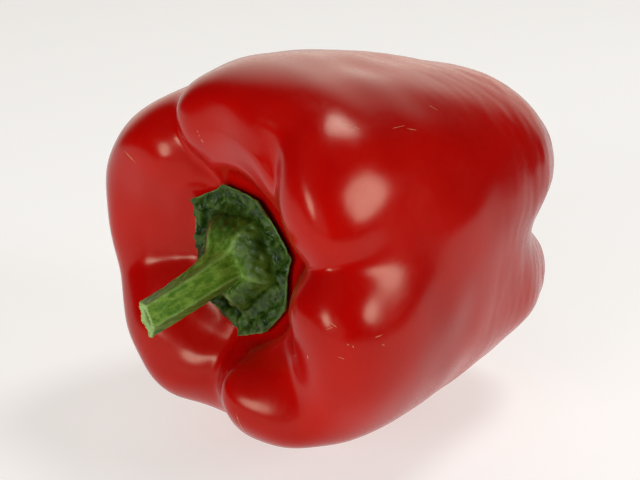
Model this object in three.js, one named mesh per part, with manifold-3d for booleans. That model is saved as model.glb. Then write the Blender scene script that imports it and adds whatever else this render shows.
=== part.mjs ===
// Bell pepper: a blocky four-lobed fruit lying on its side, with its green calyx and cut stem.
// Millimetres, +Z up. The stem end points towards -X. The origin is on the surface that the
// pepper lies on, under the middle of its outline.

import * as THREE from 'three';
import { mergeVertices } from 'three/addons/utils/BufferGeometryUtils.js';
import Module from 'manifold-3d';

const wasm = await Module();
wasm.setup();

// Each piece is first shaped round an upright axis: a radius from the axis, a height along it
// with the stem end up, and an angle in degrees, clockwise as seen from the stem end.

// Outlines of the fruit, [radius, height]. Both run over the same stations, 0 to 13: from the
// floor of the stem cavity, over the shoulder, down the side, and in to the blossom end.
const LOBE_OUTLINE = [
  [0, 77], [10, 77.5], [17.5, 80.5], [22, 86.5], [29.7, 92], [39, 91.2], [44.5, 84.5],
  [47.4, 71.5], [46.7, 51], [44.2, 30], [39.3, 10.3], [27.3, -3.2], [13, -2.5], [0, 1],
];
const FURROW_OUTLINE = [
  [0, 77], [10, 77], [16.5, 77.5], [21.5, 79.5], [26.5, 82.5], [32.5, 83], [38, 78],
  [41.5, 66], [42, 48], [38.5, 30], [31, 15], [21, 8], [10, 8], [0, 8],
];
const SHOULDER = 4.6;
const TIP = 10.8;
const SIDE = 0.5 * (SHOULDER + TIP);

// Four furrows part the lobes. start and end are their angles at the shoulder and at the blossom
// end. depth is the share of the way to the furrow outline in the cavity, at the shoulder, on the
// side and at the blossom end. left and right are half widths in degrees, and lean turns the
// furrow sideways where it crosses the shoulder.
const FURROWS = [
  { start: 335, end: 335, depth: [1, 0.98, 0.57, 0.92], left: 12.5, right: 11.5, lean: -1 },
  { start: 85, end: 94, depth: [1, 0.62, 0.97, 0.7], left: 11, right: 9, lean: -1 },
  { start: 197, end: 224, depth: [1, 0.96, 0.38, 0.98], left: 15.5, right: 18, lean: 1 },
  { start: 264, end: 258, depth: [0.7, 0.36, 0.36, 1], left: 18.5, right: 20, lean: -1 },
];
// A furrow is sharp at the shoulder and softer on the side, where it is also wider by a share.
const SHARP = 0.2;
const SOFT = 1.4;
const SIDE_WIDENING = 0.45;
const SIDE_REACH = 2.2;
const LEAN_REACH = 1.8;
// Its depth changes from the cavity's to the shoulder's over this many stations.
const CAVITY_REACH = 2.6;

// Short folds that only crease the cavity wall and the shoulder. cavity is the angle deep in
// the cavity, depth is its share in the cavity and at the shoulder.
const FOLDS = [
  { shoulder: 37, cavity: 56, depth: [0.2, 0.3], width: 9, lean: 0.6 },
  { shoulder: 136.5, cavity: 118, depth: [0.28, 0.18], width: 13, lean: 0 },
  { shoulder: 292, cavity: 292, depth: [0.15, 0.1], width: 12, lean: 0 },
  { shoulder: 215, cavity: 215, depth: [0.15, 0.1], width: 12, lean: 0 },
];
const FOLD_SOFTNESS = 0.6;
const FOLD_PLACES = [
  { station: SHOULDER - 2, reach: 1.3 },
  { station: SHOULDER, reach: 1.5 },
];

// How far each lobe bulges past the common outline, in millimetres, at these four places: the
// shoulder, the upper side, the lower side and the tip. half is its half width in degrees.
const BULGE_PLACES = [
  { station: SHOULDER - 0.3, reach: 1.5 },
  { station: SHOULDER + 2.2, reach: 1.9 },
  { station: TIP - 2.2, reach: 1.8 },
  { station: TIP + 0.2, reach: 1.3 },
];
const BULGES = [
  { angle: 18, half: 45, out: [-5.3, -1.4, -4.2, -1.6] },
  { angle: 124, half: 45, out: [-3.1, 2.8, -2.7, 0.1] },
  { angle: 220, half: 45, out: [-1.1, 2.6, 1.2, 0.3] },
  { angle: 292, half: 45, out: [-4.5, 4.9, 1.2, 0] },
  { angle: 56, half: 30, out: [-0.7, -0.9, -0.4, -0.8] },
  { angle: 108, half: 30, out: [3.7, 0.6, -1.7, -4.1] },
  { angle: 160, half: 30, out: [0.6, -1, -0.3, -0.6] },
  { angle: 195, half: 35, out: [1.4, -1.4, 4.3, 0.9] },
];

// Smaller knuckles and hollows of the shoulder, with their reach in degrees and in stations.
const KNUCKLES = [
  { angle: 161.5, station: 3.9, wide: 15, long: 0.9, out: 5.4 },
  { angle: 147, station: 5.2, wide: 12, long: 1, out: 3.1 },
  { angle: 175.5, station: 5.4, wide: 14, long: 1, out: -0.7 },
  { angle: 162.5, station: 6.3, wide: 16, long: 1.2, out: -1.2 },
  { angle: 184.5, station: 5.4, wide: 12, long: 1.2, out: -1 },
  { angle: 132, station: 4.8, wide: 12, long: 1, out: 0.4 },
  { angle: 111, station: 4.7, wide: 14, long: 1, out: -1.4 },
  { angle: 232, station: 4.2, wide: 13.5, long: 0.8, out: 2.4 },
  { angle: 216, station: 5.5, wide: 14, long: 1.2, out: 3 },
  { angle: 299, station: 3.6, wide: 20, long: 1.2, out: 1 },
  { angle: 70, station: 6.6, wide: 16, long: 2, out: -0.6 },
  { angle: 22.5, station: 4.5, wide: 12, long: 0.9, out: 1.1 },
  { angle: 349.5, station: 4.3, wide: 12, long: 0.9, out: 0.5 },
  { angle: 14.5, station: 5, wide: 13, long: 1, out: 0.4 },
];

// On the axis all angles are one point, drawn in by this share, and the lobes fade in from there.
const AXIS_PULL = 0.7;
const AXIS_REACH = 12;

// The lobes narrow a little towards the blossom end: share of the radius for each millimetre.
const NARROWING = 0.00047;
const MIDDLE = 45;

// The calyx is a thin puckered disc with pointed corners, [angle, radius]. It follows the cavity's
// floor and lifts a little from there, from the share LIFT_FROM of its radius out to its edge.
const CALYX_CORNERS = [
  [-46, 18.4], [-8, 17.2], [31, 16.8], [74, 16.3], [122, 17.7], [153, 17.5], [190, 18.8], [240, 18],
  [275, 16.4],
];
const CALYX_GAP = 0.45;
const CALYX_LIFT = 0.8;
const LIFT_FROM = 0.6;
const CALYX_THICKNESS = 1.1;
const CALYX_PUCKERS = 7;
const PUCKER = 0.5;

// Rings of the calyx, from beside the boss, over its edge and in to the middle of its underside:
// the share of the way out to the edge, the height in thicknesses, and the share of the pucker.
const CALYX_RINGS = [
  [0.76, 1.3, -1], [0.86, 1.4, 1], [0.96, 1, 0.3], [1, 0.6, 0], [0.99, 0.2, 0], [0.9, 0, 0],
  [0.7, 0, 0], [0.35, 0, 0], [0, 0, 0],
];

// The stem leaves a ribbed boss in the middle of the calyx, and curves to its cut end. The boss
// and the path are [radius, height] and [radius, angle, height].
const BOSS_OUTLINE = [[11.2, 80.6], [10.7, 82.2], [9.2, 83.9], [7, 85.4]];
const STEM_PATH = [[0, 0, 84], [1.3, 160, 88], [3.5, 190, 93], [6.8, 205, 98.7], [10.4, 213, 103.8]];
const STEM_RADIUS = 3.8;
const STEM_FLARE = 2;
const FLARE_FADE = 4;
const STEM_RINGS = 7;

// Sharp ribs run up the boss and the stem, the first at RIB_ANGLE.
const STEM_RIBS = 5;
const RIB_ANGLE = 36;
const RIB_HEIGHT = 0.42;
const RIB_ROUNDING = 0.12;
const BOSS_RIB_SHARE = 2.2;

// The cut end slopes towards CUT_ANGLE, and its pith lies deeper than its rim.
const CUT_ANGLE = 30;
const CUT_SLOPE = 0.3;
const CUT_RIM = 0.9;
const PITH_DEPTH = 0.8;

// How the pepper lies. ROLL turns it round its axis, TILT lifts its stem end, and REST is where
// the middle of its axis comes to lie over the origin.
const ROLL = 8.6;
const TILT = 1.4;
const REST = [6.2, -2.1, 47.4];

// How finely the shapes are cut into flat faces.
const FRUIT_SECTORS = 88;
const FRUIT_ROWS = 40;
const CALYX_SECTORS = 60;
const HALVINGS = 24;
const STEP = 1e-3;
const UNDERGROUND = { width: 300, depth: 100 };

const { degToRad, lerp, smoothstep, clamp, euclideanModulo } = THREE.MathUtils;

const bell = (x, centre, width) => Math.exp(-(((x - centre) / width) ** 2));
const turnBetween = (a, b) => euclideanModulo(a - b + 180, 360) - 180;

// A groove one unit deep. A small softness gives it a sharp bottom.
function groove(angle, width, softness) {
  const across = angle / width;
  return Math.exp(softness - Math.hypot(across, softness));
}

// An outline as a smooth curve. Both ends lie on the axis, so each continues as its mirror image.
function outlineCurve(points) {
  const mirrored = ([radius, height]) => [-radius, height];
  const all = [mirrored(points[1]), ...points, mirrored(points[points.length - 2])];
  const curve = new THREE.SplineCurve(all.map((p) => new THREE.Vector2(...p)));
  return (station) => curve.getPoint((station + 1) / (all.length - 1));
}

const lobeAt = outlineCurve(LOBE_OUTLINE);
const furrowAt = outlineCurve(FURROW_OUTLINE);
const LAST_STATION = LOBE_OUTLINE.length - 1;

// The depth of a furrow at a station, from its four depths.
function furrowDepth(depth, station) {
  const turn = SIDE + 0.3;
  return depth[0]
    + (depth[1] - depth[0]) * smoothstep(station, SHOULDER - CAVITY_REACH, SHOULDER)
    + (depth[2] - depth[1]) * smoothstep(station, SHOULDER, turn)
    + (depth[3] - depth[2]) * smoothstep(station, turn, TIP);
}

// How far a point is drawn in to the furrow outline, 0 to 1, and how far it is turned sideways.
function furrowPull(angle, station) {
  let pull = 0;
  let turn = 0;
  const widening = 1 + SIDE_WIDENING * bell(station, SIDE + 0.5, SIDE_REACH);
  const softness = lerp(SHARP, SOFT, smoothstep(station, SHOULDER, SIDE + 0.5));
  const uneven = 1 - smoothstep(station, SHOULDER + 1, SIDE + 1);
  for (const furrow of FURROWS) {
    const middle = lerp(furrow.start, furrow.end, smoothstep(station, SHOULDER, TIP));
    const away = turnBetween(angle, middle);
    const own = away < 0 ? furrow.left : furrow.right;
    const width = lerp(0.5 * (furrow.left + furrow.right), own, uneven) * widening;
    const cut = groove(away, width, softness);
    pull += furrowDepth(furrow.depth, station) * cut;
    turn += furrow.lean * cut * cut * bell(station, SHOULDER + 0.3, LEAN_REACH);
  }
  for (const fold of FOLDS) {
    const middle = lerp(fold.shoulder, fold.cavity, smoothstep(SHOULDER - station, -0.5, 2));
    let depth = 0;
    FOLD_PLACES.forEach((place, i) => {
      depth += fold.depth[i] * bell(station, place.station, place.reach);
    });
    const cut = groove(turnBetween(angle, middle), fold.width, FOLD_SOFTNESS);
    pull += depth * cut;
    turn += fold.lean * cut * cut * bell(station, SHOULDER - 0.5, LEAN_REACH);
  }
  return { pull: pull > 1 ? 1 + 0.5 * (pull - 1) : pull, turn };
}

// How far a point is pushed out past the lobe outline.
function bulge(angle, station) {
  let out = 0;
  for (const lobe of BULGES) {
    const share = clamp(Math.abs(turnBetween(angle, lobe.angle)) / lobe.half, 0, 1);
    const rise = 0.5 + 0.5 * Math.cos(Math.PI * share);
    BULGE_PLACES.forEach((place, i) => {
      out += rise * lobe.out[i] * bell(station, place.station, place.reach);
    });
  }
  for (const { angle: centre, station: at, wide, long, out: by } of KNUCKLES) {
    out += by * bell(turnBetween(angle, centre), 0, wide) * bell(station, at, long);
  }
  return out;
}

// A point of the fruit's skin: radius, height and angle.
function skinPoint(angle, station) {
  const lobe = lobeAt(station);
  const furrow = furrowAt(station);
  const along = lobeAt(Math.min(station + STEP, LAST_STATION)).sub(lobeAt(Math.max(station - STEP, 0)));
  const outward = new THREE.Vector2(-along.y, along.x).normalize();
  const { pull, turn } = furrowPull(angle, station);
  const offAxis = smoothstep(lobe.x, 0, AXIS_REACH);
  const drawn = lerp(AXIS_PULL, pull, offAxis);
  const out = bulge(angle, station) * offAxis;
  const height = lerp(lobe.y, furrow.y, drawn) + outward.y * out;
  const radius = (lerp(lobe.x, furrow.x, drawn) + outward.x * out) * (1 - NARROWING * (MIDDLE - height));
  return { radius, height, angle: angle + turn };
}

// The height of the cavity's floor at a radius near the axis, found by halving the stations.
function cavityHeight(angle, radius) {
  let low = 0;
  let high = SHOULDER;
  for (let i = 0; i < HALVINGS; i += 1) {
    const station = 0.5 * (low + high);
    if (skinPoint(angle, station).radius < radius) {
      low = station;
    } else {
      high = station;
    }
  }
  return skinPoint(angle, low).height;
}

// Upright round the axis to lying down: the stem end goes to -X and angle 0 goes up.
const placement = new THREE.Matrix4()
  .makeTranslation(...REST)
  .multiply(new THREE.Matrix4().makeRotationY(degToRad(TILT - 90)))
  .multiply(new THREE.Matrix4().makeRotationZ(degToRad(ROLL)))
  .multiply(new THREE.Matrix4().makeTranslation(0, 0, -MIDDLE));

// A closed body turned round the axis, each of its points then moved by place(sector, row).
function wrapped(sectors, rows, place) {
  const outline = Array.from({ length: rows + 1 }, (_, row) => {
    const onAxis = row === 0 || row === rows;
    return new THREE.Vector2(onAxis ? 0 : 1, row);
  });
  const geometry = new THREE.LatheGeometry(outline, sectors);
  const position = geometry.getAttribute('position');
  for (let column = 0; column <= sectors; column += 1) {
    for (let row = 0; row <= rows; row += 1) {
      const point = place((column % sectors) * (360 / sectors), row).applyMatrix4(placement);
      position.setXYZ(column * (rows + 1) + row, point.x, point.y, point.z);
    }
  }
  return joined(geometry);
}

// Shared corners merged, and the empty triangles at the poles left out.
function joined(geometry) {
  geometry.deleteAttribute('normal');
  geometry.deleteAttribute('uv');
  const merged = mergeVertices(geometry);
  const corners = merged.index.array;
  const kept = [];
  for (let i = 0; i < corners.length; i += 3) {
    const [a, b, c] = [corners[i], corners[i + 1], corners[i + 2]];
    if (a !== b && b !== c && c !== a) {
      kept.push(a, b, c);
    }
  }
  merged.setIndex(kept);
  return merged;
}

function solidOf(geometry) {
  return new wasm.Manifold(new wasm.Mesh({
    numProp: 3,
    vertProperties: new Float32Array(geometry.getAttribute('position').array),
    triVerts: new Uint32Array(geometry.index.array),
  }));
}

function geometryOf(solid) {
  const mesh = solid.getMesh();
  const geometry = new THREE.BufferGeometry();
  geometry.setAttribute('position', new THREE.BufferAttribute(new Float32Array(mesh.vertProperties), 3));
  geometry.setIndex(Array.from(mesh.triVerts));
  return geometry;
}

const polar = (radius, angle, height) => new THREE.Vector3(
  radius * Math.cos(degToRad(angle)),
  -radius * Math.sin(degToRad(angle)),
  height,
);

// The fruit: one block of four lobes, with the small flat spot that it rests on.
function makeFruit() {
  const geometry = wrapped(FRUIT_SECTORS, FRUIT_ROWS, (angle, row) => {
    const point = skinPoint(angle, (LAST_STATION * row) / FRUIT_ROWS);
    return polar(point.radius, point.angle, point.height);
  });
  const under = new THREE.BoxGeometry(UNDERGROUND.width, UNDERGROUND.width, UNDERGROUND.depth);
  under.translate(0, 0, -UNDERGROUND.depth / 2);
  return geometryOf(solidOf(geometry).subtract(solidOf(joined(under))));
}

// The calyx's radius at an angle: straight edges between its corners.
function calyxRadius(angle) {
  const count = CALYX_CORNERS.length;
  for (let i = 0; i < count; i += 1) {
    const [from, near] = CALYX_CORNERS[i];
    const [to, far] = CALYX_CORNERS[(i + 1) % count];
    const width = euclideanModulo(to - from, 360);
    const past = euclideanModulo(angle - from, 360);
    if (past < width) {
      const [all, gone, left] = [width, past, width - past].map((turn) => Math.sin(degToRad(turn)));
      return (near * far * all) / (near * gone + far * left);
    }
  }
  return CALYX_CORNERS[0][1];
}

// A point on a ring of the calyx, from a row of CALYX_RINGS.
function calyxPoint(angle, [share, thicknesses, puckered]) {
  const radius = calyxRadius(angle) * share;
  const raised = CALYX_GAP + CALYX_LIFT * smoothstep(share, LIFT_FROM, 1);
  const pucker = puckered * PUCKER * Math.cos(degToRad(CALYX_PUCKERS * angle));
  return polar(radius, angle, cavityHeight(angle, radius) + raised + thicknesses * CALYX_THICKNESS + pucker);
}

// A ring of the stem: t is the share of the way along its path.
const stemPath = new THREE.CatmullRomCurve3(
  STEM_PATH.map(([radius, angle, height]) => polar(radius, angle, height)),
);
function stemPoint(t, radius, angle) {
  const along = stemPath.getTangent(t);
  const up = new THREE.Vector3(1, 0, 0);
  const side = up.addScaledVector(along, -up.dot(along)).normalize();
  const other = side.clone().cross(along);
  return stemPath.getPoint(t)
    .addScaledVector(side, radius * Math.cos(degToRad(angle)))
    .addScaledVector(other, radius * Math.sin(degToRad(angle)));
}

// The height of the ribs: sharp along the top, rounded in the valleys.
function rib(angle) {
  const across = Math.sin(degToRad((STEM_RIBS * (angle - RIB_ANGLE)) / 2));
  return RIB_HEIGHT * (1 - 2 * Math.hypot(across, RIB_ROUNDING));
}

// A point of the cut end.
function cutPoint(radius, angle) {
  const slope = -CUT_SLOPE * radius * Math.cos(degToRad(angle - CUT_ANGLE));
  return stemPoint(1, radius, angle).addScaledVector(stemPath.getTangent(1), slope);
}

// The stem and calyx: one piece, from the pith of the cut end, down the stem and the boss, out
// over the calyx, round its edge, and in to the middle of its underside.
function makeStem() {
  const rings = [
    (angle) => cutPoint(0, angle).addScaledVector(stemPath.getTangent(1), -PITH_DEPTH),
    (angle) => cutPoint(STEM_RADIUS - CUT_RIM + rib(angle), angle),
    (angle) => cutPoint(STEM_RADIUS + rib(angle), angle),
  ];
  for (let i = STEM_RINGS - 1; i > 0; i -= 1) {
    const t = i / STEM_RINGS;
    const radius = STEM_RADIUS + STEM_FLARE * Math.exp(-FLARE_FADE * t);
    rings.push((angle) => stemPoint(t, radius + rib(angle), angle));
  }
  for (const [radius, height] of BOSS_OUTLINE.toReversed()) {
    rings.push((angle) => polar(radius + BOSS_RIB_SHARE * rib(angle), angle, height));
  }
  for (const ring of CALYX_RINGS) {
    rings.push((angle) => calyxPoint(angle, ring));
  }
  return wrapped(CALYX_SECTORS, rings.length - 1, (angle, row) => rings[row](angle));
}

function meshOf(name, geometry, material) {
  geometry.computeVertexNormals();
  const mesh = new THREE.Mesh(geometry, material);
  mesh.name = name;
  return mesh;
}

const redSkin = new THREE.MeshStandardMaterial({ color: 0xa30d06, roughness: 0.2, metalness: 0 });
const greenStem = new THREE.MeshStandardMaterial({ color: 0x3f6a1e, roughness: 0.5, metalness: 0 });

const pepper = new THREE.Group();
pepper.add(meshOf('fruit', makeFruit(), redSkin));
pepper.add(meshOf('stem_and_calyx', makeStem(), greenStem));

export default pepper;
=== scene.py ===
"""Bell pepper: the fine skin, calyx and stem over the frame's two solids, with their finishes.

Lengths in the shape's own values are millimetres, as in the part's source. Each piece is first
shaped round an upright axis: a radius from the axis, a height along it with the stem end up, and
an angle in degrees, clockwise as seen from the stem end.
"""

import math

import bpy
import numpy as np
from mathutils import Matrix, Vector


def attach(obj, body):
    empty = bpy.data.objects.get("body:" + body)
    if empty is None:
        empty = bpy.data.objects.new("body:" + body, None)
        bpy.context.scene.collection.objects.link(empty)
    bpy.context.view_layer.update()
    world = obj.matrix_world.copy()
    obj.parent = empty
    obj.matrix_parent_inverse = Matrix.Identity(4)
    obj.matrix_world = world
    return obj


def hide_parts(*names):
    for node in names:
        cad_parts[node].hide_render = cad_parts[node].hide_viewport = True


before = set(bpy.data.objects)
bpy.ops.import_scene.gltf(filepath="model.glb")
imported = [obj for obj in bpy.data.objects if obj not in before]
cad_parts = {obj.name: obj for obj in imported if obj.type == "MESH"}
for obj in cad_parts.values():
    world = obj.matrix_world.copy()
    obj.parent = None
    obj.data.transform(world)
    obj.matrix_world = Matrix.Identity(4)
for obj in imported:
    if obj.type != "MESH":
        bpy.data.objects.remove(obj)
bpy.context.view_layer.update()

MM = 0.001

# Outlines of the fruit, (radius, height), over the same stations, 0 to 13: from the floor of the
# stem cavity, over the shoulder, down the side, and in to the blossom end.
LOBE_OUTLINE = [
    (0, 77), (10, 77.5), (17.5, 80.5), (22, 86.5), (29.7, 92), (39, 91.2), (44.5, 84.5),
    (47.4, 71.5), (46.7, 51), (44.2, 30), (39.3, 10.3), (27.3, -3.2), (13, -2.5), (0, 1),
]
FURROW_OUTLINE = [
    (0, 77), (10, 77), (16.5, 77.5), (21.5, 79.5), (26.5, 82.5), (32.5, 83), (38, 78),
    (41.5, 66), (42, 48), (38.5, 30), (31, 15), (21, 8), (10, 8), (0, 8),
]
LAST_STATION = len(LOBE_OUTLINE) - 1
SHOULDER = 4.6
TIP = 10.8
SIDE = 0.5 * (SHOULDER + TIP)

# Furrows: angle at the shoulder, angle at the blossom end, depth in the cavity, at the shoulder,
# on the side and at the blossom end, left and right half width, and lean at the shoulder.
FURROWS = [
    (335, 335, (1, 0.98, 0.57, 0.92), 12.5, 11.5, -1),
    (85, 94, (1, 0.62, 0.97, 0.7), 11, 9, -1),
    (197, 224, (1, 0.96, 0.38, 0.98), 15.5, 18, 1),
    (264, 258, (0.7, 0.36, 0.36, 1), 18.5, 20, -1),
]
# A furrow is sharp at the shoulder and softer on the side, where it is also wider by a share.
SHARP = 0.2
SOFT = 1.4
SIDE_WIDENING = 0.45
SIDE_REACH = 2.2
LEAN_REACH = 1.8
# Its depth changes from the cavity's to the shoulder's over this many stations.
CAVITY_REACH = 2.6

# Short folds: angle at the shoulder, angle in the cavity, depth in the cavity and at the
# shoulder, half width, and lean. The places are those two stations, each with its reach.
FOLDS = [
    (37, 56, (0.2, 0.3), 9, 0.6),
    (136.5, 118, (0.28, 0.18), 13, 0),
    (292, 292, (0.15, 0.1), 12, 0),
    (215, 215, (0.15, 0.1), 12, 0),
]
FOLD_SOFTNESS = 0.6
FOLD_PLACES = [(SHOULDER - 2, 1.3), (SHOULDER, 1.5)]

# Bulges: angle, half width, and millimetres out at the shoulder, on the upper side, on the lower
# side and at the tip. The places are those four stations, each with its reach.
BULGES = [
    (18, 45, (-5.3, -1.4, -4.2, -1.6)),
    (124, 45, (-3.1, 2.8, -2.7, 0.1)),
    (220, 45, (-1.1, 2.6, 1.2, 0.3)),
    (292, 45, (-4.5, 4.9, 1.2, 0)),
    (56, 30, (-0.7, -0.9, -0.4, -0.8)),
    (108, 30, (3.7, 0.6, -1.7, -4.1)),
    (160, 30, (0.6, -1, -0.3, -0.6)),
    (195, 35, (1.4, -1.4, 4.3, 0.9)),
]
BULGE_PLACES = [(SHOULDER - 0.3, 1.5), (SHOULDER + 2.2, 1.9), (TIP - 2.2, 1.8), (TIP + 0.2, 1.3)]

# Knuckles of the shoulder: angle, station, half width, half length, and millimetres out.
KNUCKLES = [
    (161.5, 3.9, 15, 0.9, 5.4),
    (147, 5.2, 12, 1, 3.1),
    (175.5, 5.4, 14, 1, -0.7),
    (162.5, 6.3, 16, 1.2, -1.2),
    (184.5, 5.4, 12, 1.2, -1),
    (132, 4.8, 12, 1, 0.4),
    (111, 4.7, 14, 1, -1.4),
    (232, 4.2, 13.5, 0.8, 2.4),
    (216, 5.5, 14, 1.2, 3),
    (299, 3.6, 20, 1.2, 1),
    (70, 6.6, 16, 2, -0.6),
    (22.5, 4.5, 12, 0.9, 1.1),
    (349.5, 4.3, 12, 0.9, 0.5),
    (14.5, 5, 13, 1, 0.4),
]

# On the axis all angles are one point, drawn in by this share, and the lobes fade in from there.
AXIS_PULL = 0.7
AXIS_REACH = 12
# The lobes narrow a little towards the blossom end: share of the radius for each millimetre.
NARROWING = 0.00047
MIDDLE = 45

# Calyx: its corners as (angle, radius). It follows the cavity's floor and lifts a little from
# there, from the share LIFT_FROM of its radius out to its edge.
CALYX_CORNERS = [
    (-46, 18.4), (-8, 17.2), (31, 16.8), (74, 16.3), (122, 17.7), (153, 17.5), (190, 18.8),
    (240, 18), (275, 16.4),
]
CALYX_GAP = 0.45
CALYX_LIFT = 0.8
LIFT_FROM = 0.6
CALYX_THICKNESS = 1.1
CALYX_PUCKERS = 7
PUCKER = 0.5
# Rings of the calyx: share of the way out to its edge, height in thicknesses, share of the pucker.
CALYX_RINGS = [
    (0.76, 1.3, -1), (0.86, 1.4, 1), (0.96, 1, 0.3), (1, 0.6, 0), (0.99, 0.2, 0), (0.9, 0, 0),
    (0.7, 0, 0), (0.35, 0, 0), (0, 0, 0),
]
# The ring of CALYX_RINGS that is its edge.
CALYX_EDGE = 3

# The boss, (radius, height), and the stem's path, (radius, angle, height). Sharp ribs with a
# pale ridge run up both, the first at RIB_ANGLE.
BOSS_OUTLINE = [(11.2, 80.6), (10.7, 82.2), (9.2, 83.9), (7, 85.4)]
STEM_PATH = [(0, 0, 84), (1.3, 160, 88), (3.5, 190, 93), (6.8, 205, 98.7), (10.4, 213, 103.8)]
STEM_RADIUS = 3.8
STEM_FLARE = 2
FLARE_FADE = 4
STEM_RINGS = 7
STEM_RIBS = 5
RIB_ANGLE = 36
RIB_HEIGHT = 0.42
RIB_ROUNDING = 0.12
BOSS_RIB_SHARE = 2.2
RIDGE_WIDTH = 0.3

# The cut end slopes towards CUT_ANGLE, and its pith lies deeper than its rim.
CUT_ANGLE = 30
CUT_SLOPE = 0.3
CUT_RIM = 0.9
PITH_DEPTH = 0.8

# Small pale scars of the skin: angle and station of both ends, and width in millimetres.
SCARS = [
    (310.2, 4.95, 310.9, 4.36, 0.3),
    (357.3, 4.01, 357.3, 3.93, 0.35),
    (357.3, 3.83, 357.5, 3.76, 0.3),
    (357.2, 3.68, 357.5, 3.57, 0.3),
    (158, 4.26, 162.3, 4.7, 0.3),
    (44.5, 6.67, 46.6, 6.77, 0.15),
    (46.6, 6.82, 47.7, 6.87, 0.19),
    (49.8, 7.36, 49.8, 7.56, 0.15),
    (50.9, 7.56, 52, 7.66, 0.15),
    (44.5, 8.15, 46.6, 8.2, 0.15),
    (99.1, 5.05, 100.2, 5.2, 0.22),
    (101.2, 4.95, 100.2, 5.1, 0.19),
    (104.5, 5.44, 105, 5.5, 0.22),
    (105, 5.58, 105.6, 5.6, 0.22),
    (108.8, 5.29, 109.2, 5.44, 0.15),
    (103.4, 6.03, 103.2, 6.18, 0.19),
    (114.1, 4.51, 115.2, 4.55, 0.26),
    (105.5, 6.18, 106, 6.23, 0.19),
]
SCAR_STEPS = 7
SCAR_HEIGHT = 0.05
SCAR_POINT = 0.02
# A scar's three lines: side in half widths, and lift in heights.
SCAR_LINES = [(-1, -0.5), (0, 1), (1, -0.5)]

# Relief: height in millimetres, and wave length along each axis. The dents have a depth of
# their own on the stem, and more of it on the boss.
UNEVENNESS = (0.12, (26, 26, 34))
BROAD_STREAKS = (0.06, (24, 24, 6))
FINE_STREAKS = (0.025, (12, 12, 4))
BROAD_WRINKLES = (0.3, (5.5, 5.5, 40))
FINE_WRINKLES = (0.14, (2.4, 2.4, 40))
DENTS = (1, (3.2, 3.2, 10))
STEM_DENT_DEPTH = 0.06
BOSS_DENT_DEPTH = 0.14
RAGGED_RIM = (0.12, (1.2, 1.2, 1.2))
RIPPLE_WAVES = 24
# The skin's relief fades in from the axis over these radii, and its streaks over these stations.
RELIEF_RADII = (2, 14)
STREAK_STATIONS = (7.5, 11)

# How the pepper lies. ROLL turns it round its axis, TILT lifts its stem end, and REST is where
# the middle of its axis comes to lie over the origin. Its skin flattens smoothly on the floor.
ROLL = 8.6
TILT = 1.4
REST = (6.2, -2.1, 47.4)
FLAT_ROUNDING = 0.15

# Colours: linear red, green and blue.
SKIN_DEEP = (0.32, 0.0005, 0.0002)
SKIN_BRIGHT = (0.40, 0.0018, 0.0004)
SKIN_SHEEN = (1, 0.92, 0.68)
SCAR_BROWN = (0.38, 0.1, 0.03)
SCAR_PALE = (0.6, 0.36, 0.15)
LEAF_DARK = (0.006, 0.022, 0.0015)
LEAF_LIGHT = (0.040, 0.082, 0.009)
BOSS_DARK = (0.010, 0.030, 0.002)
BOSS_LIGHT = (0.040, 0.072, 0.006)
STALK_DARK = (0.048, 0.122, 0.0065)
STALK_LIGHT = (0.125, 0.22, 0.024)
RIDGE_COLOUR = (0.19, 0.3, 0.07)
EDGE_COLOUR = (0.08, 0.155, 0.035)
CUT_COLOUR = (0.24, 0.38, 0.11)
PITH_COLOUR = (0.09, 0.15, 0.02)
FLOOR_COLOUR = (0.5, 0.5, 0.5)
FLOOR_GLOW = (1, 0.98, 0.94)
STUDIO_TINT = (1, 0.88, 0.76)
WHITE = (1, 1, 1)

# Gloss: the range of each roughness, how much rougher the stem is than the calyx, and the
# refractive indices.
SKIN_ROUGHNESS = (0.2, 0.25)
SCAR_ROUGHNESS = (0.45, 0.6)
GREEN_ROUGHNESS = (0.24, 0.42)
STEM_ROUGHER = 0.15
SKIN_IOR = 1.35
GREEN_IOR = 1.33

# The turn and the stretch that lay a texture's first axis along the stem.
STREAK_TURN = (0, math.radians(-24), math.radians(-28))
STREAK_STRETCH = (0.07, 1, 1)

# The photograph's camera.
CAMERA_AZIMUTH = -43.6
CAMERA_ELEVATION = 20.9
CAMERA_DISTANCE = 375.3
CAMERA_AIM = (REST[0] - 10.9, REST[1], REST[2] - 1.1)
LENS = 90
SENSOR = 36

# Lamps: name, degrees to the right of the camera, elevation, distance and size in metres, power
# in watts, and whether it shows in reflections.
LAMPS = [
    ("left_lamp", -38, 14, 1.0, 0.34, 3.3, True),
    ("right_lamp", 65, 21, 1.0, 0.36, 3.6, True),
    ("top_lamp", 117, 64, 1.0, 0.34, 3.6, True),
    ("high_fill", -40, 60, 1.2, 1.4, 1.7, False),
    ("low_fill", -20, 2, 1.2, 1.0, 9, False),
]

# The floor's corners: metres towards the camera and to its right.
FLOOR_CORNERS = [(0.24, -0.7), (0.24, 0.7), (-1.6, 0.9), (-1.6, -0.9)]
FLOOR_ROUGHNESS = 0.9
FLOOR_STRENGTH = 0.54

# The studio is dark in reflections but for the side away from the camera, where it brightens
# between these cosines of the angle from that side.
BACKDROP_SPAN = (0.55, 0.9)
BACKDROP_STRENGTH = (0.02, 1.35)

# How finely the shapes are cut.
FRUIT_SECTORS = 336
FRUIT_ROWS = 264
STEM_SECTORS = 288
STEM_STEPS = 8
HALVINGS = 24
STEP = 1e-3
PATH_STEP = 0.01

random = np.random.default_rng(7)


# Shape helpers, for arrays of angles and stations

def bell(x, centre, width):
    return np.exp(-(((x - centre) / width) ** 2))


def smoothstep(x, low, high):
    t = np.clip((x - low) / (high - low), 0, 1)
    return t * t * (3 - 2 * t)


def turn_between(a, b):
    return (a - b + 180) % 360 - 180


def groove(angle, width, softness):
    return np.exp(softness - np.hypot(angle / width, softness))


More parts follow.
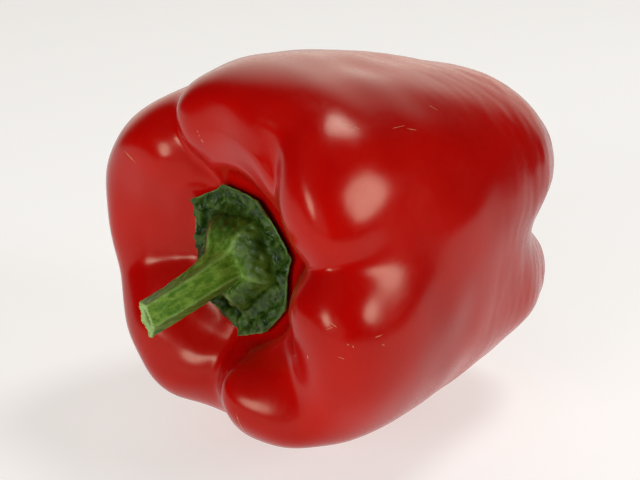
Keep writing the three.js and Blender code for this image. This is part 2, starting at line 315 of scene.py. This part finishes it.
def spline(points, station):
    """A smooth curve through points, at arrays of stations; the ends carry on straight."""
    points = np.asarray(points, float)
    last = len(points) - 1
    i = np.clip(np.floor(station).astype(int), 0, last - 1)
    t = (station - i)[..., None] if points.ndim > 1 else station - i
    before = 2 * points[0] - points[1]
    after = 2 * points[-1] - points[-2]
    p = np.concatenate([before[None], points, after[None]])
    a, b, c, d = p[i], p[i + 1], p[i + 2], p[i + 3]
    while t.ndim < a.ndim:
        t = t[..., None]
    square = (2 * a - 5 * b + 4 * c - d) * t**2
    cube = (3 * b - a - 3 * c + d) * t**3
    return 0.5 * (2 * b + (c - a) * t + square + cube)


def outline(points, station):
    """An outline that meets the axis at both ends and carries on there as its mirror image."""
    mirrored = [(-points[1][0], points[1][1]), *points, (-points[-2][0], points[-2][1])]
    at = spline(mirrored, station + 1)
    return at[..., 0], at[..., 1]


def furrow_depth(depth, station):
    """The depth of a furrow at a station, from its four depths."""
    bend = SIDE + 0.3
    return (
        depth[0]
        + (depth[1] - depth[0]) * smoothstep(station, SHOULDER - CAVITY_REACH, SHOULDER)
        + (depth[2] - depth[1]) * smoothstep(station, SHOULDER, bend)
        + (depth[3] - depth[2]) * smoothstep(station, bend, TIP)
    )


def at_places(values, places, station):
    """Values that each hold round their own place and fade out along the stations."""
    return sum(value * bell(station, at, reach) for value, (at, reach) in zip(values, places))


def furrow_pull(angle, station):
    """How far points are drawn in to the furrow outline, 0 to 1, and turned sideways."""
    pull = np.zeros(np.broadcast(angle, station).shape)
    turn = np.zeros_like(pull)
    widening = 1 + SIDE_WIDENING * bell(station, SIDE + 0.5, SIDE_REACH)
    softness = SHARP + (SOFT - SHARP) * smoothstep(station, SHOULDER, SIDE + 0.5)
    uneven = 1 - smoothstep(station, SHOULDER + 1, SIDE + 1)
    for start, end, depth, left, right, lean in FURROWS:
        middle = start + (end - start) * smoothstep(station, SHOULDER, TIP)
        away = turn_between(angle, middle)
        mean = 0.5 * (left + right)
        width = (mean + (np.where(away < 0, left, right) - mean) * uneven) * widening
        cut = groove(away, width, softness)
        pull += furrow_depth(depth, station) * cut
        turn += lean * cut**2 * bell(station, SHOULDER + 0.3, LEAN_REACH)
    for shoulder, cavity, depth, width, lean in FOLDS:
        middle = shoulder + (cavity - shoulder) * smoothstep(SHOULDER - station, -0.5, 2)
        cut = groove(turn_between(angle, middle), width, FOLD_SOFTNESS)
        pull += at_places(depth, FOLD_PLACES, station) * cut
        turn += lean * cut**2 * bell(station, SHOULDER - 0.5, LEAN_REACH)
    return np.where(pull > 1, 1 + 0.5 * (pull - 1), pull), turn


def bulge(angle, station):
    """How far points are pushed out past the lobe outline."""
    out = np.zeros(np.broadcast(angle, station).shape)
    for centre, half, by in BULGES:
        share = np.clip(np.abs(turn_between(angle, centre)) / half, 0, 1)
        rise = 0.5 + 0.5 * np.cos(math.pi * share)
        out += rise * at_places(by, BULGE_PLACES, station)
    for centre, at, half, length, by in KNUCKLES:
        out += by * bell(turn_between(angle, centre), 0, half) * bell(station, at, length)
    return out


def polar(radius, angle, height):
    turn = np.radians(angle)
    return np.stack(np.broadcast_arrays(radius * np.cos(turn), -radius * np.sin(turn), height), -1)


def skin(angle, station):
    """Points of the fruit's skin: radius, angle and height."""
    lobe_r, lobe_h = outline(LOBE_OUTLINE, station)
    furrow_r, furrow_h = outline(FURROW_OUTLINE, station)
    r1, h1 = outline(LOBE_OUTLINE, np.minimum(station + STEP, LAST_STATION))
    r0, h0 = outline(LOBE_OUTLINE, np.maximum(station - STEP, 0))
    length = np.hypot(r1 - r0, h1 - h0)
    out_r, out_h = -(h1 - h0) / length, (r1 - r0) / length
    pull, turn = furrow_pull(angle, station)
    off_axis = smoothstep(lobe_r, 0, AXIS_REACH)
    pull = AXIS_PULL + (pull - AXIS_PULL) * off_axis
    out = bulge(angle, station) * off_axis
    height = lobe_h + (furrow_h - lobe_h) * pull + out_h * out
    radius = lobe_r + (furrow_r - lobe_r) * pull + out_r * out
    return radius * (1 - NARROWING * (MIDDLE - height)), angle + turn, height


def cavity_height(angle, radius):
    """The height of the cavity's floor, found by halving the stations."""
    low = np.zeros(np.broadcast(angle, radius).shape)
    high = np.full_like(low, SHOULDER)
    for _ in range(HALVINGS):
        station = 0.5 * (low + high)
        inside = skin(angle, station)[0] < radius
        low = np.where(inside, station, low)
        high = np.where(inside, high, station)
    return skin(angle, low)[2]


def rotation(axis, degrees):
    c, s = math.cos(math.radians(degrees)), math.sin(math.radians(degrees))
    if axis == "y":
        return np.array([[c, 0, s], [0, 1, 0], [-s, 0, c]])
    return np.array([[c, -s, 0], [s, c, 0], [0, 0, 1]])


LIE_DOWN = rotation("y", TILT - 90) @ rotation("z", ROLL)


def laid(points):
    """Upright points, as the pepper lies."""
    return (points - (0, 0, MIDDLE)) @ LIE_DOWN.T + REST


def ripple(points, height, lengths):
    """A smooth random field of about that height, with its own wave length along each axis."""
    waves = random.normal(size=(RIPPLE_WAVES, 3)) * 2 * math.pi / np.asarray(lengths, float)
    phases = random.uniform(0, 2 * math.pi, RIPPLE_WAVES)
    field = np.zeros(points.shape[:-1])
    for wave, phase in zip(waves, phases):
        field += np.cos(points @ wave + phase)
    return height * (field / math.sqrt(RIPPLE_WAVES / 2))


def grid_normals(points):
    """Outward normals of a grid whose columns go round and whose rows go down."""
    down = np.gradient(points, axis=0)
    across = np.roll(points, -1, 1) - np.roll(points, 1, 1)
    normal = np.cross(across, down)
    length = np.linalg.norm(normal, axis=-1, keepdims=True)
    return normal / np.maximum(length, 1e-9)


def grid_mesh(name, points, masks):
    """A closed mesh from a grid of rows and columns whose first and last rows are poles."""
    rows, columns = points.shape[:2]
    inner = points[1:-1].reshape(-1, 3)
    verts = np.concatenate([points[0, :1], inner, points[-1, :1]]) * MM
    row, column = np.meshgrid(np.arange(rows - 3), np.arange(columns), indexing="ij")
    after = (column + 1) % columns
    quads = np.stack([
        1 + row * columns + column,
        1 + row * columns + after,
        1 + (row + 1) * columns + after,
        1 + (row + 1) * columns + column,
    ], -1).reshape(-1, 4)
    ring = np.arange(columns)
    beyond = (ring + 1) % columns
    last = 1 + (rows - 3) * columns
    top = np.stack([np.zeros(columns, int), 1 + beyond, 1 + ring], -1)
    end = np.stack([np.full(columns, len(verts) - 1), last + ring, last + beyond], -1)
    mesh = bpy.data.meshes.new(name)
    mesh.from_pydata(verts.tolist(), [], quads.tolist() + top.tolist() + end.tolist())
    mesh.shade_smooth()
    for key, mask in masks.items():
        layer = mesh.attributes.new(key, "FLOAT", "POINT")
        values = np.concatenate([mask[0, :1], mask[1:-1].ravel(), mask[-1, :1]])
        layer.data.foreach_set("value", values.astype(np.float32))
    mesh.validate()
    piece = bpy.data.objects.new(name, mesh)
    bpy.context.scene.collection.objects.link(piece)
    return piece


# Materials

def new_material(name):
    material = bpy.data.materials.new(name)
    material.use_nodes = True
    nodes = material.node_tree.nodes
    nodes.clear()
    shader = nodes.new("ShaderNodeBsdfPrincipled")
    output = nodes.new("ShaderNodeOutputMaterial")
    material.node_tree.links.new(shader.outputs["BSDF"], output.inputs["Surface"])
    return material, nodes, material.node_tree.links, shader


def noise(nodes, links, source, scale, detail, roughness=0.5):
    node = nodes.new("ShaderNodeTexNoise")
    node.inputs["Scale"].default_value = scale
    node.inputs["Detail"].default_value = detail
    node.inputs["Roughness"].default_value = roughness
    links.new(source, node.inputs["Vector"])
    return node.outputs["Fac"]


def remap(nodes, links, value, span, onto):
    """A value that runs smoothly over onto while its source runs over span."""
    node = nodes.new("ShaderNodeMapRange")
    node.interpolation_type = "SMOOTHSTEP"
    for key, number in zip(("From Min", "From Max", "To Min", "To Max"), (*span, *onto)):
        node.inputs[key].default_value = number
    links.new(value, node.inputs["Value"])
    return node.outputs["Result"]


def blend(nodes, links, factor, a, b):
    """A mix of two colours, each a tuple or a socket."""
    node = nodes.new("ShaderNodeMix")
    node.data_type = "RGBA"
    links.new(factor, node.inputs[0])
    for socket, colour in ((node.inputs[6], a), (node.inputs[7], b)):
        if isinstance(colour, tuple):
            socket.default_value = (*colour, 1)
        else:
            links.new(colour, socket)
    return node.outputs[2]


def mottled(nodes, links, pattern, span, a, b):
    """A mix of two colours that follows a pattern over a span of its values."""
    return blend(nodes, links, remap(nodes, links, pattern, span, (0, 1)), a, b)


def bump(nodes, links, height, distance, strength, normal=None):
    node = nodes.new("ShaderNodeBump")
    node.inputs["Distance"].default_value = distance
    node.inputs["Strength"].default_value = strength
    links.new(height, node.inputs["Height"])
    if normal is not None:
        links.new(normal, node.inputs["Normal"])
    return node.outputs["Normal"]


def skin_material():
    material, nodes, links, shader = new_material("red_skin")
    place = nodes.new("ShaderNodeTexCoord").outputs["Object"]
    cloud = noise(nodes, links, place, scale=28, detail=4)
    colour = mottled(nodes, links, cloud, (0.35, 0.7), SKIN_DEEP, SKIN_BRIGHT)
    links.new(colour, shader.inputs["Base Color"])
    fine = noise(nodes, links, place, scale=900, detail=2)
    links.new(remap(nodes, links, fine, (0.3, 0.7), SKIN_ROUGHNESS), shader.inputs["Roughness"])
    links.new(bump(nodes, links, fine, distance=0.00001, strength=0.5), shader.inputs["Normal"])
    shader.inputs["IOR"].default_value = SKIN_IOR
    shader.inputs["Specular Tint"].default_value = (*SKIN_SHEEN, 1)
    return material


def scar_material():
    material, nodes, links, shader = new_material("pale_scar")
    place = nodes.new("ShaderNodeTexCoord").outputs["Object"]
    grain = noise(nodes, links, place, scale=2500, detail=2)
    span = (0.35, 0.65)
    colour = mottled(nodes, links, grain, span, SCAR_BROWN, SCAR_PALE)
    links.new(colour, shader.inputs["Base Color"])
    links.new(remap(nodes, links, grain, span, SCAR_ROUGHNESS), shader.inputs["Roughness"])
    return material


def attribute(nodes, name):
    node = nodes.new("ShaderNodeAttribute")
    node.attribute_name = name
    return node.outputs["Fac"]


def stem_material():
    material, nodes, links, shader = new_material("green_stem")
    place = nodes.new("ShaderNodeTexCoord").outputs["Object"]
    mottle = noise(nodes, links, place, scale=420, detail=4, roughness=0.6)
    patches = noise(nodes, links, place, scale=130, detail=3, roughness=0.6)
    leaf = mottled(nodes, links, mottle, (0.38, 0.66), LEAF_DARK, LEAF_LIGHT)
    boss = mottled(nodes, links, patches, (0.35, 0.65), BOSS_DARK, BOSS_LIGHT)
    lengthways = nodes.new("ShaderNodeMapping")
    lengthways.inputs["Rotation"].default_value = STREAK_TURN
    lengthways.inputs["Scale"].default_value = STREAK_STRETCH
    links.new(place, lengthways.inputs["Vector"])
    streak = noise(nodes, links, lengthways.outputs["Vector"], scale=900, detail=3, roughness=0.6)
    stalk = mottled(nodes, links, streak, (0.36, 0.66), STALK_DARK, STALK_LIGHT)
    colour = blend(nodes, links, attribute(nodes, "boss"), leaf, boss)
    colour = blend(nodes, links, attribute(nodes, "stem"), colour, stalk)
    pale = remap(nodes, links, attribute(nodes, "ridge"), (0.2, 1), (0, 0.5))
    colour = blend(nodes, links, pale, colour, RIDGE_COLOUR)
    for name, own in (("edge", EDGE_COLOUR), ("cut", CUT_COLOUR), ("pith", PITH_COLOUR)):
        colour = blend(nodes, links, attribute(nodes, name), colour, own)
    links.new(colour, shader.inputs["Base Color"])
    rougher = nodes.new("ShaderNodeMath")
    rougher.operation = "MULTIPLY_ADD"
    rougher.inputs[1].default_value = STEM_ROUGHER
    links.new(attribute(nodes, "stem"), rougher.inputs[0])
    links.new(remap(nodes, links, mottle, (0.35, 0.65), GREEN_ROUGHNESS), rougher.inputs[2])
    links.new(rougher.outputs["Value"], shader.inputs["Roughness"])
    shader.inputs["IOR"].default_value = GREEN_IOR
    coarse = bump(nodes, links, mottle, distance=0.0005, strength=0.9)
    fine = bump(nodes, links, streak, distance=0.0001, strength=0.5, normal=coarse)
    links.new(fine, shader.inputs["Normal"])
    return material


# The fruit

def make_fruit():
    """The skin, and its grid of points as it lies."""
    angle = np.linspace(0, 360, FRUIT_SECTORS, endpoint=False)[None, :]
    station = np.linspace(0, LAST_STATION, FRUIT_ROWS + 1)[:, None]
    angle, station = np.broadcast_arrays(angle, station)
    radius, turned, height = skin(angle, station)
    points = polar(radius, turned, height)
    off_axis = smoothstep(radius, *RELIEF_RADII)
    uneven = ripple(points, *UNEVENNESS) * off_axis
    streaks = ripple(points, *BROAD_STREAKS) + ripple(points, *FINE_STREAKS)
    streaks = streaks * smoothstep(station, *STREAK_STATIONS) * off_axis
    points = laid(points + grid_normals(points) * (uneven + streaks)[..., None])
    low = points[..., 2]
    points[..., 2] = 0.5 * (low + np.hypot(low, FLAT_ROUNDING))
    return grid_mesh("pepper_skin", points, {}), points


def on_grid(values, angle, station):
    """Values between the fruit's rows and columns."""
    row = station / LAST_STATION * FRUIT_ROWS
    column = angle % 360 / 360 * FRUIT_SECTORS
    i, j = np.floor(row).astype(int), np.floor(column).astype(int)
    u, v = (row - i)[:, None], (column - j)[:, None]
    j, k = j % FRUIT_SECTORS, (j + 1) % FRUIT_SECTORS
    upper = values[i, j] * (1 - v) + values[i, k] * v
    lower = values[i + 1, j] * (1 - v) + values[i + 1, k] * v
    return upper * (1 - u) + lower * u


def make_scars(points):
    """Low ridges, pointed at both ends, that lie on the fruit's own grid of points."""
    normals = grid_normals(points)
    t = np.linspace(0, 1, SCAR_STEPS)
    verts, faces = [], []
    for start, from_station, end, to_station, width in SCARS:
        angle = start + (end - start) * t
        station = from_station + (to_station - from_station) * t
        middle, up = on_grid(points, angle, station), on_grid(normals, angle, station)
        side = np.cross(np.gradient(middle, axis=0), up)
        side /= np.linalg.norm(side, axis=-1, keepdims=True)
        taper = np.sqrt(np.sin(math.pi * np.clip(t, SCAR_POINT, 1 - SCAR_POINT)))
        half = (0.5 * width * taper)[:, None]
        first = len(verts)
        for across, lift in SCAR_LINES:
            verts += (middle + side * half * across + up * SCAR_HEIGHT * lift).tolist()
        for line in range(len(SCAR_LINES) - 1):
            for i in range(SCAR_STEPS - 1):
                a = first + line * SCAR_STEPS + i
                faces.append((a, a + 1, a + 1 + SCAR_STEPS, a + SCAR_STEPS))
    mesh = bpy.data.meshes.new("pepper_scars")
    mesh.from_pydata((np.array(verts) * MM).tolist(), [], faces)
    piece = bpy.data.objects.new("pepper_scars", mesh)
    bpy.context.scene.collection.objects.link(piece)
    return piece


# The stem and calyx

def calyx_radius(angle):
    """The calyx's radius at an angle: straight edges between its corners."""
    radius = np.zeros_like(angle, dtype=float)
    for i, (start, near) in enumerate(CALYX_CORNERS):
        end, far = CALYX_CORNERS[(i + 1) % len(CALYX_CORNERS)]
        width = (end - start) % 360
        past = (angle - start) % 360
        whole, gone, left = (np.sin(np.radians(x)) for x in (width, past, width - past))
        edge = near * far * whole / np.maximum(near * gone + far * left, 1e-9)
        radius = np.where(past < width, edge, radius)
    return radius


def calyx_ring(angle, share, thicknesses, puckered):
    """A ring of the calyx, from a row of CALYX_RINGS."""
    radius = calyx_radius(angle) * share
    raised = CALYX_GAP + CALYX_LIFT * smoothstep(share, LIFT_FROM, 1)
    pucker = puckered * PUCKER * np.cos(np.radians(CALYX_PUCKERS * angle))
    height = cavity_height(angle, radius) + raised + thicknesses * CALYX_THICKNESS + pucker
    return polar(radius, angle, height)


def stem_ring(t, radius, angle):
    """A ring round the stem's path, and the way the path runs there."""
    path = polar(*(np.array(column, float) for column in zip(*STEM_PATH)))
    shares = np.array([t, t - PATH_STEP, min(t + PATH_STEP, 1)])
    centre, before, after = spline(path, shares * (len(path) - 1))
    along = (after - before) / np.linalg.norm(after - before)
    side = np.array([1.0, 0, 0])
    side -= along * side.dot(along)
    side /= np.linalg.norm(side)
    other = np.cross(side, along)
    turn = np.radians(angle)[:, None]
    radius = np.broadcast_to(radius, angle.shape)[:, None]
    return centre + radius * (side * np.cos(turn) + other * np.sin(turn)), along


def cut_ring(radius, angle, deep=0):
    """A ring of the sloping cut end, sunk by a depth."""
    ring, along = stem_ring(1, radius, angle)
    slope = -CUT_SLOPE * radius * np.cos(np.radians(angle - CUT_ANGLE))
    return ring + along * (slope - deep)[:, None]


def make_stem():
    """One closed body of rings, from the pith of the cut end, down the stem and the boss, out over
    the calyx, round its edge, and in to the middle of its underside. Its masks count in rings.
    """
    angle = np.linspace(0, 360, STEM_SECTORS, endpoint=False)
    across = np.sin(np.radians(STEM_RIBS * (angle - RIB_ANGLE) / 2))
    rib = RIB_HEIGHT * (1 - 2 * np.hypot(across, RIB_ROUNDING))
    rings = [
        cut_ring(0 * angle, angle, PITH_DEPTH),
        cut_ring(STEM_RADIUS - CUT_RIM + rib, angle),
        cut_ring(STEM_RADIUS + rib, angle),
    ]
    for i in range(STEM_RINGS - 1, 0, -1):
        t = i / STEM_RINGS
        flare = STEM_FLARE * math.exp(-FLARE_FADE * t)
        rings.append(stem_ring(t, STEM_RADIUS + flare + rib, angle)[0])
    boss = len(rings)
    for radius, height in reversed(BOSS_OUTLINE):
        rings.append(polar(radius + BOSS_RIB_SHARE * rib, angle, np.full_like(angle, height)))
    plate = len(rings)
    for ring in CALYX_RINGS:
        rings.append(calyx_ring(angle, *ring))
    keys = np.stack(rings)
    at = np.linspace(0, len(keys) - 1, (len(keys) - 1) * STEM_STEPS + 1)
    points = spline(keys, at)
    row = np.broadcast_to(at[:, None], points.shape[:2])
    edge = plate + CALYX_EDGE
    before_edge = 1 - smoothstep(row, edge - 0.6, edge + 0.3)
    on_plate = smoothstep(row, plate - 0.8, plate + 0.4) * before_edge
    on_boss = bell(row, plate - 2, 1.6)
    ridge = bell(across, 0, RIDGE_WIDTH) * (1 - smoothstep(row, boss - 1, boss + 3))
    masks = {
        "stem": 1 - smoothstep(row, boss - 1.6, boss + 1.4),
        "ridge": ridge * smoothstep(row, 1.6, 2),
        "boss": on_boss,
        "edge": bell(row, edge - 0.1, 0.35),
        "cut": 1 - smoothstep(row, 1.9, 2.2),
        "pith": 1 - smoothstep(row, 0.4, 0.9),
    }
    wrinkles = on_plate * (ripple(points, *BROAD_WRINKLES) + ripple(points, *FINE_WRINKLES))
    dent_depth = STEM_DENT_DEPTH + BOSS_DENT_DEPTH * on_boss
    dents = dent_depth * ripple(points, *DENTS) * (1 - on_plate) * smoothstep(row, 2, 3)
    ragged = ripple(points, *RAGGED_RIM) * bell(row, 1.7, 0.6)
    top = 1 - smoothstep(row, edge + 0.5, edge + 1.5)
    points = points + grid_normals(points) * ((wrinkles + dents + ragged) * top)[..., None]
    return grid_mesh("pepper_stem", laid(points), masks)


# Camera, lights and floor

def direction(azimuth, elevation):
    a, e = math.radians(azimuth), math.radians(elevation)
    return Vector((math.sin(a) * math.cos(e), -math.cos(a) * math.cos(e), math.sin(e)))


def make_camera():
    data = bpy.data.cameras.new("camera")
    data.lens = LENS
    data.sensor_width = SENSOR
    data.sensor_fit = "HORIZONTAL"
    data.clip_start = 0.01
    camera = bpy.data.objects.new("camera", data)
    back = direction(CAMERA_AZIMUTH, CAMERA_ELEVATION)
    camera.location = (Vector(CAMERA_AIM) + back * CAMERA_DISTANCE) * MM
    camera.rotation_euler = back.to_track_quat("Z", "Y").to_euler()
    bpy.context.scene.collection.objects.link(camera)
    bpy.context.scene.camera = camera


def make_lamp(name, aside, elevation, distance, size, power, glossy):
    """A round lamp that faces the pepper, from a row of LAMPS."""
    data = bpy.data.lights.new(name, "AREA")
    data.shape = "DISK"
    data.size = size
    data.energy = power
    lamp = bpy.data.objects.new(name, data)
    towards = direction(CAMERA_AZIMUTH + aside, elevation)
    lamp.location = Vector(REST) * MM + towards * distance
    lamp.rotation_euler = towards.to_track_quat("Z", "Y").to_euler()
    lamp.visible_glossy = glossy
    bpy.context.scene.collection.objects.link(lamp)


def make_floor():
    mesh = bpy.data.meshes.new("floor")
    near, right = direction(CAMERA_AZIMUTH, 0), direction(CAMERA_AZIMUTH + 90, 0)
    corners = [near * towards + right * aside for towards, aside in FLOOR_CORNERS]
    mesh.from_pydata(corners, [], [(0, 1, 2, 3)])
    floor = bpy.data.objects.new("floor", mesh)
    material, _, _, shader = new_material("pale_floor")
    shader.inputs["Base Color"].default_value = (*FLOOR_COLOUR, 1)
    shader.inputs["Roughness"].default_value = FLOOR_ROUGHNESS
    shader.inputs["Emission Color"].default_value = (*FLOOR_GLOW, 1)
    shader.inputs["Emission Strength"].default_value = FLOOR_STRENGTH
    floor.data.materials.append(material)
    bpy.context.scene.collection.objects.link(floor)


def make_world():
    world = bpy.data.worlds.new("studio")
    world.use_nodes = True
    nodes, links = world.node_tree.nodes, world.node_tree.links
    nodes.clear()
    way = nodes.new("ShaderNodeTexCoord")
    facing = nodes.new("ShaderNodeVectorMath")
    facing.operation = "DOT_PRODUCT"
    facing.inputs[1].default_value = -direction(CAMERA_AZIMUTH, 0)
    links.new(way.outputs["Generated"], facing.inputs[0])
    backdrop = remap(nodes, links, facing.outputs["Value"], BACKDROP_SPAN, BACKDROP_STRENGTH)
    rays = nodes.new("ShaderNodeLightPath")
    seen = nodes.new("ShaderNodeMath")
    seen.operation = "MAXIMUM"
    links.new(backdrop, seen.inputs[0])
    links.new(rays.outputs["Is Camera Ray"], seen.inputs[1])
    shine = nodes.new("ShaderNodeBackground")
    links.new(seen.outputs["Value"], shine.inputs["Strength"])
    tone = blend(nodes, links, rays.outputs["Is Camera Ray"], STUDIO_TINT, WHITE)
    links.new(tone, shine.inputs["Color"])
    output = nodes.new("ShaderNodeOutputWorld")
    links.new(shine.outputs["Background"], output.inputs["Surface"])
    bpy.context.scene.world = world


make_camera()
make_floor()
make_world()
for lamp in LAMPS:
    make_lamp(*lamp)
bpy.context.scene.view_settings.view_transform = "Standard"

fruit, skin_points = make_fruit()
fruit.data.materials.append(skin_material())
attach(fruit, "root")
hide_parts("fruit")

scars = make_scars(skin_points)
scars.data.materials.append(scar_material())
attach(scars, "root")

stem = make_stem()
stem.data.materials.append(stem_material())
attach(stem, "root")
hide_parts("stem_and_calyx")
